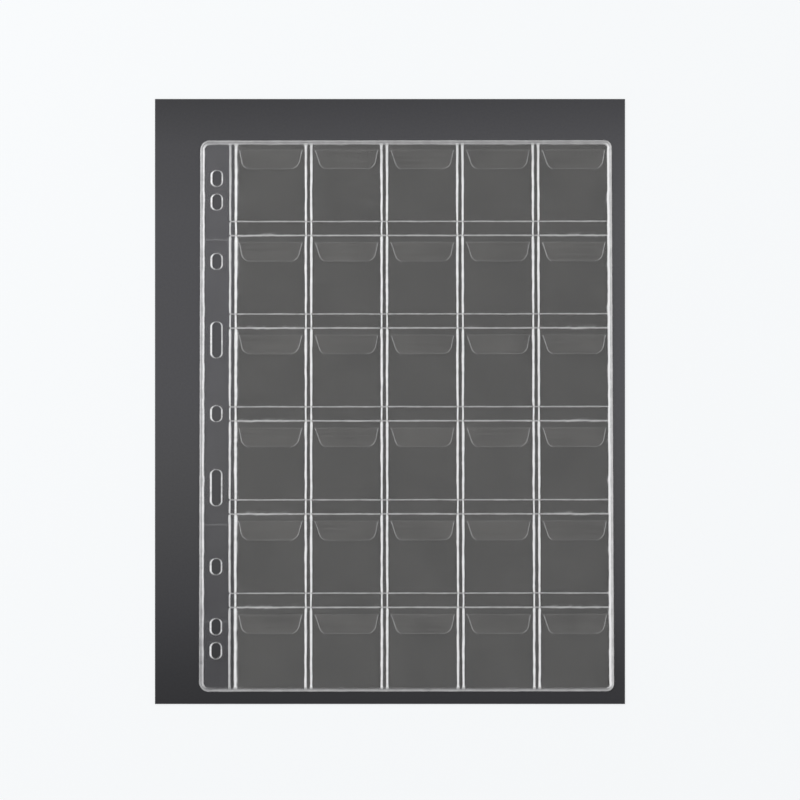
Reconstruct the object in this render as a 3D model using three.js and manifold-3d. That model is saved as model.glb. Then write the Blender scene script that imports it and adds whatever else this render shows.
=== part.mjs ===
// Clear film album page for coins. A backing film with punched binding holes carries a binding strip
// and a ladder of front film strips, welded on as pockets, with a hinged flap over every pocket mouth.
// Millimetres. The page lies on its back: +X points to the fore edge, +Y to the top, +Z out of its front.
import * as THREE from "three";
import { mergeVertices } from "three/addons/utils/BufferGeometryUtils.js";
import Module from "manifold-3d";

const wasm = await Module();
wasm.setup();

// Pocket grid
const COLUMNS = 5;
const ROWS = 6;
const POCKET_WIDTH = 34.5; // clear width between two seams
const POCKET_DEPTH = 36.5; // from the mouth to the line that closes the pocket
const HEADER_HEIGHT = 7.15; // from a closing line to the header line below it
const HEM_HEIGHT = 3.5; // from a header line to the mouth below it
const TOP_HEM_HEIGHT = 2.55; // from the rim to the mouths of the top row
const SPINE_WIDTH = 14.9; // binding margin, from the outer edge to the first seam

// Films
const BACKING_THICKNESS = 0.2;
const FRONT_THICKNESS = 0.18;
const FILM_GAP = 0.3; // between the cut edges of two films in the same layer
const SPINE_CORNER_RADIUS = 5;
const FORE_CORNER_RADIUS = 4;

// An empty pocket stands a little open, and the hem above it rises over its mouth
const POCKET_LIFT = 0.45;
const POCKET_SIDE_RAMP = 5;
const POCKET_FLOOR_RAMP = 10;
const HEM_SIDE_RAMP = 3;
const FLAP_CLEARANCE = 0.07; // air between a flap and the pocket front under it
const RAMP_STEPS = 2;

// Weld beads: the ridges of film pushed up beside a pressed weld
const SEAM_BEAD_WIDTH = 1.3;
const SEAM_BEAD_SPACING = 2.7; // between the two beads of one seam
const SEAM_BEAD_HEIGHT = 0.22;
const LINE_BEAD_WIDTH = 0.7;
const LINE_BEAD_HEIGHT = 0.14;
const RIM_WIDTH = 2.6;
const RIM_BEAD_WIDTH = 1.0;
const RIM_BEAD_HEIGHT = 0.26;
const RIM_BEAD_INSET = 0.1; // outer bead to the page's edge
const BEAD_ROOT = 0.1; // how deep a bead is fused into its film

// Flaps
const FLAP_WIDTH = 32.2; // across the shoulders
const FLAP_LENGTH = 9.8;
const FLAP_SIDE_SLANT = THREE.MathUtils.degToRad(15);
const FLAP_TIP_RADIUS = 3.8;
const FLAP_SHOULDER_RADIUS = 1.2;
const SHOULDER_ARC_START = THREE.MathUtils.degToRad(112); // stops the fillet before it thins to nothing

// Binding holes, in pairs about the middle hole
const HOLE_WIDTH = 4.7;
const HOLE_LENGTH = 7.2;
const SLOT_LENGTH = 17.4;
const SLOT_OFFSET = 37.5;
const INNER_HOLE_OFFSET = 77.4;
const OUTER_HOLE_OFFSET = 107.7;
const END_HOLE_OFFSET = 119.8;
const BINDING_RISE = 0.6; // middle hole above the page's middle
const LIP_WIDTH = 0.9;
const LIP_HEIGHT = 0.13;

// Worked out from the sizes above
const SEAM_WIDTH = SEAM_BEAD_SPACING + SEAM_BEAD_WIDTH;
const COLUMN_PITCH = POCKET_WIDTH + SEAM_WIDTH;
const ROW_PITCH = POCKET_DEPTH + HEADER_HEIGHT + HEM_HEIGHT;
const PAGE_WIDTH = SPINE_WIDTH + COLUMNS * COLUMN_PITCH + RIM_WIDTH;
const PAGE_HEIGHT = 2 * RIM_WIDTH + TOP_HEM_HEIGHT + (ROWS - 1) * ROW_PITCH + POCKET_DEPTH;
const RIGHT = PAGE_WIDTH / 2;
const TOP = PAGE_HEIGHT / 2;
const FRONT_FACE = BACKING_THICKNESS + FRONT_THICKNESS;
const HEM_LIFT = POCKET_LIFT + FRONT_THICKNESS + FLAP_CLEARANCE;
const BINDING_X = -RIGHT + (RIM_WIDTH + SPINE_WIDTH) / 2;
const STRIP_LEFT = seamCentre(0) + FILM_GAP / 2;

// Facets of the round stretches: each arc is drawn with twice this many straight pieces
const BEAD_ARC_STEPS = 2;
const FLAP_ARC_STEPS = 2;
const OUTLINE_ARC_STEPS = 3; // page corners and binding holes

// Margins for joining and cutting solids
const BEYOND = 5; // how far a cutting block runs past the page
const SAME_POINT = 1e-4; // corners closer than this are one

const clearFilm = new THREE.MeshStandardMaterial({
  color: 0xe8ecee,
  roughness: 0.12,
  metalness: 0,
  transparent: true,
  opacity: 0.28,
});

function seamCentre(column) {
  return -RIGHT + SPINE_WIDTH + SEAM_WIDTH / 2 + column * COLUMN_PITCH;
}

function pocketLeft(column) {
  return seamCentre(column) + SEAM_WIDTH / 2;
}

function mouthY(row) {
  return TOP - RIM_WIDTH - TOP_HEM_HEIGHT - row * ROW_PITCH;
}

function closingY(row) {
  return mouthY(row) - POCKET_DEPTH;
}

// A film leaves its weld at a slope and levels out: a quarter of a sine wave
function swell(share) {
  return Math.sin((Math.PI / 2) * THREE.MathUtils.clamp(share, 0, 1));
}

// Solids for joining and cutting

function solidOf(geometry) {
  const bare = geometry.clone();
  bare.deleteAttribute("normal");
  bare.deleteAttribute("uv");
  const merged = mergeVertices(bare, SAME_POINT);
  return new wasm.Manifold(
    new wasm.Mesh({
      numProp: 3,
      vertProperties: new Float32Array(merged.attributes.position.array),
      triVerts: new Uint32Array(merged.index.array),
    }),
  );
}

function geometryOf(solid) {
  const mesh = solid.getMesh();
  const geometry = new THREE.BufferGeometry();
  geometry.setAttribute("position", new THREE.BufferAttribute(mesh.vertProperties, 3));
  geometry.setIndex(new THREE.BufferAttribute(mesh.triVerts, 1));
  geometry.computeVertexNormals();
  return geometry;
}

function joined(solids) {
  return solids.reduce((whole, solid) => whole.add(solid));
}

function plate(shape, bottom, top, curveSegments) {
  const depth = top - bottom;
  const geometry = new THREE.ExtrudeGeometry(shape, { depth, bevelEnabled: false, curveSegments });
  return geometry.translate(0, 0, bottom);
}

function block(left, right, low, high, bottom, top) {
  const geometry = new THREE.BoxGeometry(right - left, high - low, top - bottom);
  return geometry.translate((left + right) / 2, (low + high) / 2, (bottom + top) / 2);
}

// Outlines

function pageOutline(inset) {
  const right = RIGHT - inset;
  const top = TOP - inset;
  const spine = SPINE_CORNER_RADIUS - inset;
  const fore = FORE_CORNER_RADIUS - inset;
  const shape = new THREE.Shape();
  shape.absarc(right - fore, top - fore, fore, 0, Math.PI / 2);
  shape.absarc(-right + spine, top - spine, spine, Math.PI / 2, Math.PI);
  shape.absarc(-right + spine, -top + spine, spine, Math.PI, 1.5 * Math.PI);
  shape.absarc(right - fore, -top + fore, fore, 1.5 * Math.PI, 2 * Math.PI);
  shape.closePath();
  return shape;
}

function roundedSlot(PathClass, centreY, length, growth) {
  const radius = HOLE_WIDTH / 2 + growth;
  const reach = (length - HOLE_WIDTH) / 2;
  const path = new PathClass();
  path.absarc(BINDING_X, centreY + reach, radius, 0, Math.PI);
  path.absarc(BINDING_X, centreY - reach, radius, Math.PI, 2 * Math.PI);
  path.closePath();
  return path;
}

function bindingHoles() {
  const pairs = [
    { offset: SLOT_OFFSET, length: SLOT_LENGTH },
    { offset: INNER_HOLE_OFFSET, length: HOLE_LENGTH },
    { offset: OUTER_HOLE_OFFSET, length: HOLE_LENGTH },
    { offset: END_HOLE_OFFSET, length: HOLE_LENGTH },
  ];
  const holes = pairs.flatMap(({ offset, length }) => [
    { y: BINDING_RISE + offset, length },
    { y: BINDING_RISE - offset, length },
  ]);
  return [{ y: BINDING_RISE, length: HOLE_LENGTH }, ...holes];
}

function flapOutline() {
  const lean = Math.sin(FLAP_SIDE_SLANT);
  const upright = Math.cos(FLAP_SIDE_SLANT);
  const drop = FLAP_LENGTH - FLAP_TIP_RADIUS;
  const tipX = FLAP_WIDTH / 2 - (FLAP_TIP_RADIUS + drop * lean) / upright;
  const shoulderX = FLAP_WIDTH / 2 + (FLAP_SHOULDER_RADIUS * (1 - lean)) / upright;
  const shoulderEnd = Math.PI - FLAP_SIDE_SLANT;
  const startX = shoulderX + FLAP_SHOULDER_RADIUS * Math.cos(SHOULDER_ARC_START);
  const shape = new THREE.Shape();
  shape.moveTo(-startX, 0);
  shape.absarc(-shoulderX, -FLAP_SHOULDER_RADIUS, FLAP_SHOULDER_RADIUS,
    Math.PI - SHOULDER_ARC_START, Math.PI - shoulderEnd, true);
  shape.absarc(-tipX, -drop, FLAP_TIP_RADIUS, Math.PI + FLAP_SIDE_SLANT, 1.5 * Math.PI);
  shape.absarc(tipX, -drop, FLAP_TIP_RADIUS, 1.5 * Math.PI, 2 * Math.PI - FLAP_SIDE_SLANT);
  shape.absarc(shoulderX, -FLAP_SHOULDER_RADIUS, FLAP_SHOULDER_RADIUS,
    shoulderEnd, SHOULDER_ARC_START, true);
  shape.lineTo(startX, 0);
  shape.closePath();
  return shape;
}

// Everything in front of the backing, within the page's outline
const frontHalf = solidOf(plate(pageOutline(0), BACKING_THICKNESS, BEYOND, OUTLINE_ARC_STEPS));

// Weld beads

function beadProfile(width, height) {
  const profile = new THREE.Shape();
  profile.moveTo(-width / 2, -BEAD_ROOT);
  profile.lineTo(width / 2, -BEAD_ROOT);
  profile.absellipse(0, 0, width / 2, height, 0, Math.PI);
  profile.closePath();
  return profile;
}

// The profile's own axis runs along the bead, so it is turned from Z to lie along X or Y
function straightBead(width, height, length) {
  return new THREE.ExtrudeGeometry(beadProfile(width, height), {
    depth: length,
    bevelEnabled: false,
    curveSegments: BEAD_ARC_STEPS,
  });
}

function uprightBead(x, low, high) {
  const bead = straightBead(SEAM_BEAD_WIDTH, SEAM_BEAD_HEIGHT, high - low);
  bead.rotateX(Math.PI / 2);
  return solidOf(bead.translate(x, high, FRONT_FACE));
}

function levelBead(y, left, right) {
  const bead = straightBead(LINE_BEAD_WIDTH, LINE_BEAD_HEIGHT, right - left);
  bead.rotateX(Math.PI / 2).rotateZ(Math.PI / 2);
  return solidOf(bead.translate(left, y, FRONT_FACE));
}

// A bead that follows a closed outline: a ring that slopes up from the film to a flat crest on both sides
function ringBead(outer, inner, width, height) {
  const slope = width / 4;
  outer.holes.push(inner);
  const ring = new THREE.ExtrudeGeometry(outer, {
    depth: BEAD_ROOT,
    bevelThickness: height,
    bevelSize: slope,
    bevelOffset: -slope,
    bevelSegments: 1,
    curveSegments: OUTLINE_ARC_STEPS,
  });
  return solidOf(ring.translate(0, 0, FRONT_FACE - BEAD_ROOT)).intersect(frontHalf);
}

function rimBeads() {
  const insets = [RIM_BEAD_INSET, RIM_WIDTH - RIM_BEAD_WIDTH];
  const rings = insets.map((inset) =>
    ringBead(pageOutline(inset), pageOutline(inset + RIM_BEAD_WIDTH), RIM_BEAD_WIDTH, RIM_BEAD_HEIGHT),
  );
  return joined(rings);
}

function holeLip({ y, length }) {
  const outer = roundedSlot(THREE.Shape, y, length, LIP_WIDTH);
  const inner = roundedSlot(THREE.Path, y, length, 0);
  return ringBead(outer, inner, LIP_WIDTH, LIP_HEIGHT);
}

const rim = rimBeads();

function rimWithin(left, right, low, high) {
  return rim.intersect(solidOf(block(left, right, low, high, 0, BEYOND)));
}

// Films

function backingFilm() {
  const outline = pageOutline(0);
  for (const { y, length } of bindingHoles()) {
    outline.holes.push(roundedSlot(THREE.Path, y, length, 0));
  }
  return plate(outline, 0, BACKING_THICKNESS, OUTLINE_ARC_STEPS);
}

function bindingStrip() {
  const outline = pageOutline(0);
  for (const { y, length } of bindingHoles()) {
    outline.holes.push(roundedSlot(THREE.Path, y, length, 0));
  }
  const right = seamCentre(0) - FILM_GAP / 2;
  const sheet = solidOf(plate(outline, BACKING_THICKNESS, FRONT_FACE, OUTLINE_ARC_STEPS));
  const bead = uprightBead(seamCentre(0) - SEAM_BEAD_SPACING / 2, RIM_WIDTH - TOP, TOP - RIM_WIDTH);
  const whole = joined([sheet, rim, bead, ...bindingHoles().map(holeLip)]);
  const spineSide = block(-RIGHT - BEYOND, right, -TOP - BEYOND, TOP + BEYOND, 0, BEYOND);
  return geometryOf(whole.intersect(solidOf(spineSide)));
}

// How far the front film stands off the backing across one row of pockets, 0 at the seams and 1 between
function acrossPockets(x, ramp) {
  for (let column = 0; column < COLUMNS; column += 1) {
    const inside = x - pocketLeft(column);
    if (inside >= 0 && inside <= POCKET_WIDTH) {
      return swell(Math.min(inside, POCKET_WIDTH - inside) / ramp);
    }
  }
  return 0;
}

function pocketLift(x, y, row) {
  return POCKET_LIFT * acrossPockets(x, POCKET_SIDE_RAMP) * swell((y - closingY(row)) / POCKET_FLOOR_RAMP);
}

function hemLift(x, y, row, height) {
  return HEM_LIFT * acrossPockets(x, HEM_SIDE_RAMP) * swell((mouthY(row) + height - y) / height);
}

// Places along X where the film bends: in steps up each side ramp of every pocket
function stationsAcross() {
  const stations = [STRIP_LEFT];
  for (let column = 0; column < COLUMNS; column += 1) {
    const left = pocketLeft(column);
    for (let step = 0; step <= RAMP_STEPS; step += 1) {
      stations.push(left + (step / RAMP_STEPS) * POCKET_SIDE_RAMP);
    }
    for (let step = RAMP_STEPS; step >= 0; step -= 1) {
      stations.push(left + POCKET_WIDTH - (step / RAMP_STEPS) * POCKET_SIDE_RAMP);
    }
  }
  stations.push(RIGHT);
  return stations;
}

function stepsBetween(from, to) {
  return Array.from({ length: RAMP_STEPS + 1 }, (_, step) => from + (step / RAMP_STEPS) * (to - from));
}

// A film of even thickness over a grid of stations, lifted off the backing by a function of place
function liftedFilm(across, along, lift) {
  const sheet = new THREE.BoxGeometry(1, 1, 1, across.length - 1, along.length - 1, 1);
  const places = sheet.attributes.position;
  for (let i = 0; i < places.count; i += 1) {
    const x = across[Math.round((places.getX(i) + 0.5) * (across.length - 1))];
    const y = along[Math.round((places.getY(i) + 0.5) * (along.length - 1))];
    const z = places.getZ(i) > 0 ? FRONT_FACE : BACKING_THICKNESS;
    places.setXYZ(i, x, y, z + lift(x, y));
  }
  return solidOf(sheet);
}

function seamBeads(low, high) {
  const beads = [];
  for (let column = 0; column < COLUMNS; column += 1) {
    for (const side of column === 0 ? [1] : [-1, 1]) {
      beads.push(uprightBead(seamCentre(column) + (side * SEAM_BEAD_SPACING) / 2, low, high));
    }
  }
  return beads;
}

// One weld line across the page: a bead from seam to seam in every column, the last one up to the rim
function weldLine(y) {
  const beads = [];
  for (let column = 0; column < COLUMNS; column += 1) {
    const left = seamCentre(column) + SEAM_BEAD_SPACING / 2;
    const right = column === COLUMNS - 1 ? RIGHT - RIM_WIDTH : seamCentre(column + 1) - SEAM_BEAD_SPACING / 2;
    beads.push(levelBead(y, left, right));
  }
  return beads;
}

// The short strip above the top row: only a hem that hangs from the rim
function topFlapStrip() {
  const low = mouthY(0) + FILM_GAP;
  const film = liftedFilm(stationsAcross(), [...stepsBetween(low, TOP - RIM_WIDTH), TOP], (x, y) =>
    hemLift(x, y, 0, TOP_HEM_HEIGHT),
  );
  const beads = [rimWithin(STRIP_LEFT, RIGHT, low, TOP), ...seamBeads(low, TOP - RIM_WIDTH)];
  return geometryOf(joined([film, ...beads]).intersect(frontHalf));
}

// A pocket strip closes its own row at its foot, and its lower hem covers the mouths of the next row
function pocketStrip(row) {
  const last = row === ROWS - 1;
  const low = last ? -TOP : mouthY(row + 1) + FILM_GAP;
  const high = mouthY(row);
  const floor = closingY(row);
  const header = floor - HEADER_HEIGHT;
  const below = last ? [low] : stepsBetween(low, header);
  const film = liftedFilm(
    stationsAcross(),
    [...below, ...stepsBetween(floor, floor + POCKET_FLOOR_RAMP), high],
    (x, y) => (y >= floor ? pocketLift(x, y, row) : last ? 0 : hemLift(x, y, row + 1, HEM_HEIGHT)),
  );
  const beads = [rimWithin(STRIP_LEFT, RIGHT, low, high), ...seamBeads(last ? floor : low, high)];
  const lines = last ? [] : [floor, header].flatMap(weldLine);
  return geometryOf(joined([film, ...beads, ...lines]).intersect(frontHalf));
}

const flapFilm = plate(flapOutline(), 0, FRONT_THICKNESS, FLAP_ARC_STEPS);

function namedMesh(name, geometry) {
  const mesh = new THREE.Mesh(geometry, clearFilm.clone());
  mesh.name = name;
  return mesh;
}

function flap(row, column) {
  const mesh = namedMesh(`flap_${row + 1}_${column + 1}`, flapFilm);
  mesh.position.set(pocketLeft(column) + POCKET_WIDTH / 2, mouthY(row), BACKING_THICKNESS + HEM_LIFT);
  return mesh;
}

const page = new THREE.Group();
page.add(namedMesh("backing_film", backingFilm()));
page.add(namedMesh("binding_strip", bindingStrip()));
page.add(namedMesh("top_flap_strip", topFlapStrip()));
for (let row = 0; row < ROWS; row += 1) {
  page.add(namedMesh(`pocket_strip_${row + 1}`, pocketStrip(row)));
  for (let column = 0; column < COLUMNS; column += 1) {
    page.add(flap(row, column));
  }
}

export default page;
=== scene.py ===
"""Looks of a clear film album page with thirty coin pockets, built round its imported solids.

The page lies on its back: +X points to the fore edge, +Y to the top and +Z out of its front.
Shapes are worked out in millimetres and go into their meshes in metres.
"""

from __future__ import annotations

import logging
import math
from dataclasses import dataclass, field
from enum import Enum
from functools import partial
from typing import Callable

import bpy
import numpy as np
from mathutils import Euler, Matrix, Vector

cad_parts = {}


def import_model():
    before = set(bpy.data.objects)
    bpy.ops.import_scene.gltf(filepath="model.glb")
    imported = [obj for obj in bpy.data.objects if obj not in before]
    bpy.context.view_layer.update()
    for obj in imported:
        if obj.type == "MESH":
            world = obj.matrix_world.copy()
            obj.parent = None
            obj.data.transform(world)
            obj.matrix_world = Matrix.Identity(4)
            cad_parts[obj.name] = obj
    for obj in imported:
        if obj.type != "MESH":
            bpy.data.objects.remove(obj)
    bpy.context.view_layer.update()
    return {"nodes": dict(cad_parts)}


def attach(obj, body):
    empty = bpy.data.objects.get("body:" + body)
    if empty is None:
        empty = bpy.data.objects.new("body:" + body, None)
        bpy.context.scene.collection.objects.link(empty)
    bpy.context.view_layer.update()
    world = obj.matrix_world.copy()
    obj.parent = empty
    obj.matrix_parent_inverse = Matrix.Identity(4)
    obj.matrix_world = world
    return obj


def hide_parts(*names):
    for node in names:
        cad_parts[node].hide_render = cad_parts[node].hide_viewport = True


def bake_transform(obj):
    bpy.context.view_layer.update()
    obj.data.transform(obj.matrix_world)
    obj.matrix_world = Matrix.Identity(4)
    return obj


log = logging.getLogger("album_page")

Array = np.ndarray
Span = tuple[float, float]
Wave = tuple[float, float]  # a drift's longest wave and its reach, in millimetres
AddNode = Callable[..., bpy.types.Node]
MM = 0.001
SHARP_DEGREES = 50
PAGE_BODY = "page"
WHITENESS = "whiteness"  # share of a place that welding, cutting or creasing has turned white, partly painted highlight where beads and cut edges catch the light; below 0 it is painted shade


class Edge(Enum):
    """The four sides of the page's rim, which the studio light catches unequally."""

    SPINE = "spine"
    FORE = "fore"
    TOP = "top"
    FOOT = "foot"


class Punch(Enum):
    """The two lengths of binding hole, in millimetres."""

    HOLE = 7.2
    SLOT = 17.4


# Node graphs


def linear(colour: str) -> tuple[float, float, float, float]:
    """Turns an sRGB hex colour into the linear colour that shaders take.

    Args:
        colour: A colour such as "#E4E3EA".

    Returns:
        Linear red, green, blue and an alpha of 1.
    """
    parts = [int(colour[i : i + 2], 16) / 255 for i in (1, 3, 5)]
    red, green, blue = (c / 12.92 if c <= 0.04045 else ((c + 0.055) / 1.055) ** 2.4 for c in parts)
    return (red, green, blue, 1.0)


def add_node(tree: bpy.types.NodeTree, kind: str, *values: object, **named: object) -> bpy.types.Node:
    """Adds a shader node with its settings and links.

    Args:
        tree: The node tree that gets the node.
        kind: The node's type without "ShaderNode", and after a space the sum that a Math node does.
        *values: A number, colour, socket or node for each input in turn. A node stands for its first output.
        **named: Settings in small letters. Inputs start with a capital: the socket's name with "_" for a
            space, or "In" and its place.

    Returns:
        The new node.
    """
    kind, _, operation = kind.partition(" ")
    node = tree.nodes.new("ShaderNode" + kind)
    if operation:
        node.operation = operation
    inputs: dict[int | str, object] = dict(enumerate(values))
    for name, value in named.items():
        if name[0].islower():
            setattr(node, name, value)
        else:
            inputs[int(name[2:]) if name[2:].isdigit() else name.replace("_", " ")] = value
    for place, value in inputs.items():
        source = value.outputs[0] if isinstance(value, bpy.types.Node) else value
        if isinstance(source, bpy.types.NodeSocket):
            tree.links.new(source, node.inputs[place])
        else:
            node.inputs[place].default_value = source
    return node


def empty_graph(owner: bpy.types.Material | bpy.types.World) -> AddNode:
    """Clears the nodes of a material or world, and gives its own add_node."""
    owner.use_nodes = True
    owner.node_tree.nodes.clear()
    return partial(add_node, owner.node_tree)


def background_rays(add: AddNode) -> bpy.types.Node:
    """Adds a switch that is 1 for rays from the camera or off gloss, and 0 for those that light the page."""
    ray = add("LightPath").outputs
    mirrored = add("Math MAXIMUM", ray["Is Glossy Ray"], ray["Is Transmission Ray"])
    return add("Math MAXIMUM", ray["Is Camera Ray"], mirrored)


# Formulas


def ramp(value: Array, start: float, end: float) -> Array:
    """A straight climb from 0 at the start to 1 at the end, level outside."""
    return np.clip((value - start) / (end - start), 0, 1)


def ridge(distance: Array, half_width: Array | float, height: float) -> Array:
    """Height of a weld bead: a half ellipse over the distance from its middle line."""
    return height * np.sqrt(np.clip(1 - (distance / half_width) ** 2, 0, 1))


def band(distance: Array, half_width: Array | float, softness: float) -> Array:
    """Whiteness across a bead: 1 along its middle, fading to 0 over the outer share of its half width."""
    return np.clip((1 - np.abs(distance) / half_width) / softness, 0, 1)


def bump(distance: Array, width: float) -> Array:
    """A bell curve: 1 at distance 0, fading within about two widths."""
    return np.exp(-((distance / width) ** 2))


def swell(share: Array) -> Array:
    """A quarter of a sine wave: a film leaves its weld at a slope and levels out at a share of 1."""
    return np.sin(np.pi / 2 * np.clip(share, 0, 1))


def wander(along: Array, seed: int, wavelength: float, reach: float) -> Array:
    """Slow uneven drift along a length: five sine waves of seeded phase and weight, added up.

    Args:
        along: Places along the length, in millimetres.
        seed: Which drift this is.
        wavelength: The longest wave, in millimetres.
        reach: About how far the drift goes either way. The waves never all peak together, so it's scaled up.

    Returns:
        The drift at each place.
    """
    rng = np.random.default_rng(seed)
    waves = wavelength * np.array([1.0, 0.61, 0.37, 0.23, 0.15])
    phases = rng.uniform(0, 2 * np.pi, waves.size)
    weights = rng.uniform(0.4, 1.0, waves.size)
    parts = np.sin(2 * np.pi * along[..., None] / waves + phases) * weights
    return 1.6 * reach * parts.sum(-1) / weights.sum()


def two_drifts(along: Array, seeds: tuple[int, int], waves: tuple[Wave, Wave]) -> Array:
    """A long drift and a short one added up, each with its own seed."""
    return sum(wander(along, seed, *wave) for seed, wave in zip(seeds, waves))


def stations(*spans: tuple[float, float, float]) -> Array:
    """Grid lines over several spans that meet end to end.

    Args:
        *spans: For each span its start, its end and the widest pitch in it, in millimetres.

    Returns:
        The places in order, each once.
    """
    parts = [np.linspace(a, b, max(1, math.ceil(abs(b - a) / pitch)) + 1) for a, b, pitch in spans]
    return np.unique(np.round(np.concatenate(parts), 5))


# The page's layout


@dataclass(frozen=True)
class PageLayout:
    """Where the pockets, welds and holes are, in millimetres, as the solids have them."""

    columns: int = 5
    rows: int = 6
    pocket_width: float = 34.5
    pocket_depth: float = 36.5
    header_height: float = 7.15
    hem_height: float = 3.5
    top_hem_height: float = 2.55
    spine_width: float = 14.9
    seam_width: float = 4.0
    rim_width: float = 2.6
    spine_corner: float = 5.0
    fore_corner: float = 4.0
    backing_thickness: float = 0.2
    film_thickness: float = 0.18
    weld_gap: float = 0.01  # keeps the underside of a front film off the backing
    slit: float = 0.02  # between the foot of a strip and the mouths that it hangs over
    pocket_lift: float = 0.45
    pocket_slack: float = 0.1  # share of its lift that a pocket's front may lose
    slack_wave: float = 55.0
    slack_lean: float = 0.7  # how far the waves of the slack lean over
    hem_lift: float = 0.7
    pocket_side_ramp: float = 5.0
    pocket_floor_ramp: float = 10.0
    hem_side_ramp: float = 3.0
    hole_width: float = 4.0  # a little narrower than the backing's, so that the lip's painted dark ring shows
    binding_rise: float = 0.6
    slot_offsets: tuple[float, ...] = (37.5, -37.5)
    hole_offsets: tuple[float, ...] = (0.0, 77.4, -77.4, 107.7, -107.7, 119.8, -119.8)

    @property
    def punches(self) -> list[tuple[float, Punch]]:
        """How far every binding hole is from the middle one, and its length."""
        return [(at, Punch.SLOT) for at in self.slot_offsets] + [(at, Punch.HOLE) for at in self.hole_offsets]

    @property
    def column_pitch(self) -> float:
        """Distance from one seam to the next."""
        return self.pocket_width + self.seam_width

    @property
    def row_pitch(self) -> float:
        """Distance from one row of mouths to the next."""
        return self.pocket_depth + self.header_height + self.hem_height

    @property
    def right(self) -> float:
        """X of the fore edge; the spine edge is at minus this."""
        return (self.spine_width + self.columns * self.column_pitch + self.rim_width) / 2

    @property
    def top(self) -> float:
        """Y of the top edge; the foot is at minus this."""
        rest = 2 * self.rim_width + self.top_hem_height + self.pocket_depth
        return (rest + (self.rows - 1) * self.row_pitch) / 2

    @property
    def front_face(self) -> float:
        """Z of the front of a film welded flat on the backing."""
        return self.backing_thickness + self.film_thickness

    @property
    def binding_x(self) -> float:
        """X of the line of binding holes."""
        return -self.right + (self.rim_width + self.spine_width) / 2

    @property
    def weld_lines(self) -> list[float]:
        """Y of every weld line across the page, from the top down."""
        return [line(row) for row in range(self.rows - 1) for line in (self.closing, self.header)]

    def seam(self, column: int) -> float:
        """X of the middle of a seam, which is on the left of its column."""
        return -self.right + self.spine_width + self.seam_width / 2 + column * self.column_pitch

    def pocket_left(self, column: int) -> float:
        """X of a pocket's left side."""
        return self.seam(column) + self.seam_width / 2

    def pocket_middle(self, column: int) -> float:
        """X of a pocket's middle."""
        return self.pocket_left(column) + self.pocket_width / 2

    def mouth(self, row: int) -> float:
        """Y of a row's pocket mouths."""
        return self.top - self.rim_width - self.top_hem_height - row * self.row_pitch

    def closing(self, row: int) -> float:
        """Y of the weld line that closes a row of pockets."""
        return self.mouth(row) - self.pocket_depth

    def header(self, row: int) -> float:
        """Y of the second weld line below a row of pockets."""
        return self.closing(row) - self.header_height

    def inset(self, x: Array, y: Array) -> Array:
        """How far a place is inside the page's outline, a rectangle with rounded corners."""
        radius = np.where(x < 0, self.spine_corner, self.fore_corner)
        over_x = np.abs(x) - (self.right - radius)
        over_y = np.abs(y) - (self.top - radius)
        outside = np.hypot(np.maximum(over_x, 0), np.maximum(over_y, 0))
        return radius - outside - np.minimum(np.maximum(over_x, over_y), 0)

    def drawn_in(self, x: Array, y: Array, side: int, radius: float) -> Array:
        """X of a grid's places, squeezed into the rounded corners of one side of the page.

        Within a radius of that side, distances shrink as the arc is narrower than a square corner.

        Args:
            x: Places across.
            y: Places along.
            side: -1 for the spine side, 1 for the fore side.
            radius: The corners' radius.

        Returns:
            The new places across.
        """
        inner = self.right - radius
        into = np.clip(np.abs(y) - (self.top - radius), 0, radius)
        arc = np.sqrt(np.clip(radius**2 - into**2, 0, None))
        past = side * x - inner
        return np.where(past > 0, side * (inner + past * arc / radius), x)

    def across_pockets(self, x: Array, side_ramp: float) -> Array:
        """How far a film stands off across a row: 0 at the seams, swelling to 1 over a ramp."""
        share = np.zeros_like(x)
        for column in range(self.columns):
            inside = x - self.pocket_left(column)
            share = np.maximum(share, swell(np.minimum(inside, self.pocket_width - inside) / side_ramp))
        return share

    def hem_rise(self, x: Array, y: Array, row: int, height: float) -> Array:
        """Rise of the hem over a row's mouths: highest at its lower edge, 0 at the weld above it."""
        below_weld = (self.mouth(row) + height - y) / height
        return self.hem_lift * self.across_pockets(x, self.hem_side_ramp) * swell(below_weld)

    def pocket_rise(self, x: Array, y: Array, row: int) -> Array:
        """Rise of a pocket's front: 0 at the seams and the closing weld, and a slack level at the mouth."""
        along = swell((y - self.closing(row)) / self.pocket_floor_ramp)
        waves = wander(x + self.slack_lean * y, 90 + row, self.slack_wave, 1.0)
        slack = 1 - self.pocket_slack * (1 + waves).clip(0, 2) * along
        return self.pocket_lift * self.across_pockets(x, self.pocket_side_ramp) * along * slack


# Welds


@dataclass
class Relief:
    """Places on a film, and what welding adds at each: a height in millimetres and a whiteness.

    A whiteness below 0 is painted shade: a dark place that stands in for a steep flank of clear film
    bending away what is behind it.
    """

    x: Array
    y: Array
    height: Array
    whiteness: Array

    @classmethod
    def flat(cls, x: Array, y: Array) -> Relief:
        """A relief with nothing on it."""
        return cls(x, y, np.zeros_like(x), np.zeros_like(x))

    def add(self, height: Array | float, whiteness: Array) -> None:
        """Lays a mark over the relief: the higher height wins, and whiteness covers as paint does.

        Args:
            height: Heights of the mark.
            whiteness: Whiteness of the mark, from 0 to 1.
        """
        self.height = np.maximum(self.height, height)
        self.whiteness = 1 - (1 - self.whiteness) * (1 - np.clip(whiteness, 0, 1))

    def paint_shade(self, darkness: Array) -> None:
        """Paints shade: makes clear places dark, and leaves white ones as they are."""
        self.whiteness = self.whiteness - darkness * (1 - ramp(self.whiteness, 0, 0.15))


@dataclass(frozen=True)
class RimLook:
    """One side of the rim: where its inner bead runs, how broad it is, and how white each part is, partly
    painted highlight.
    """

    # outer, between and inner are whitenesses, partly painted highlight
    inset: float
    half: float
    outer: float
    between: float
    inner: float


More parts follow.
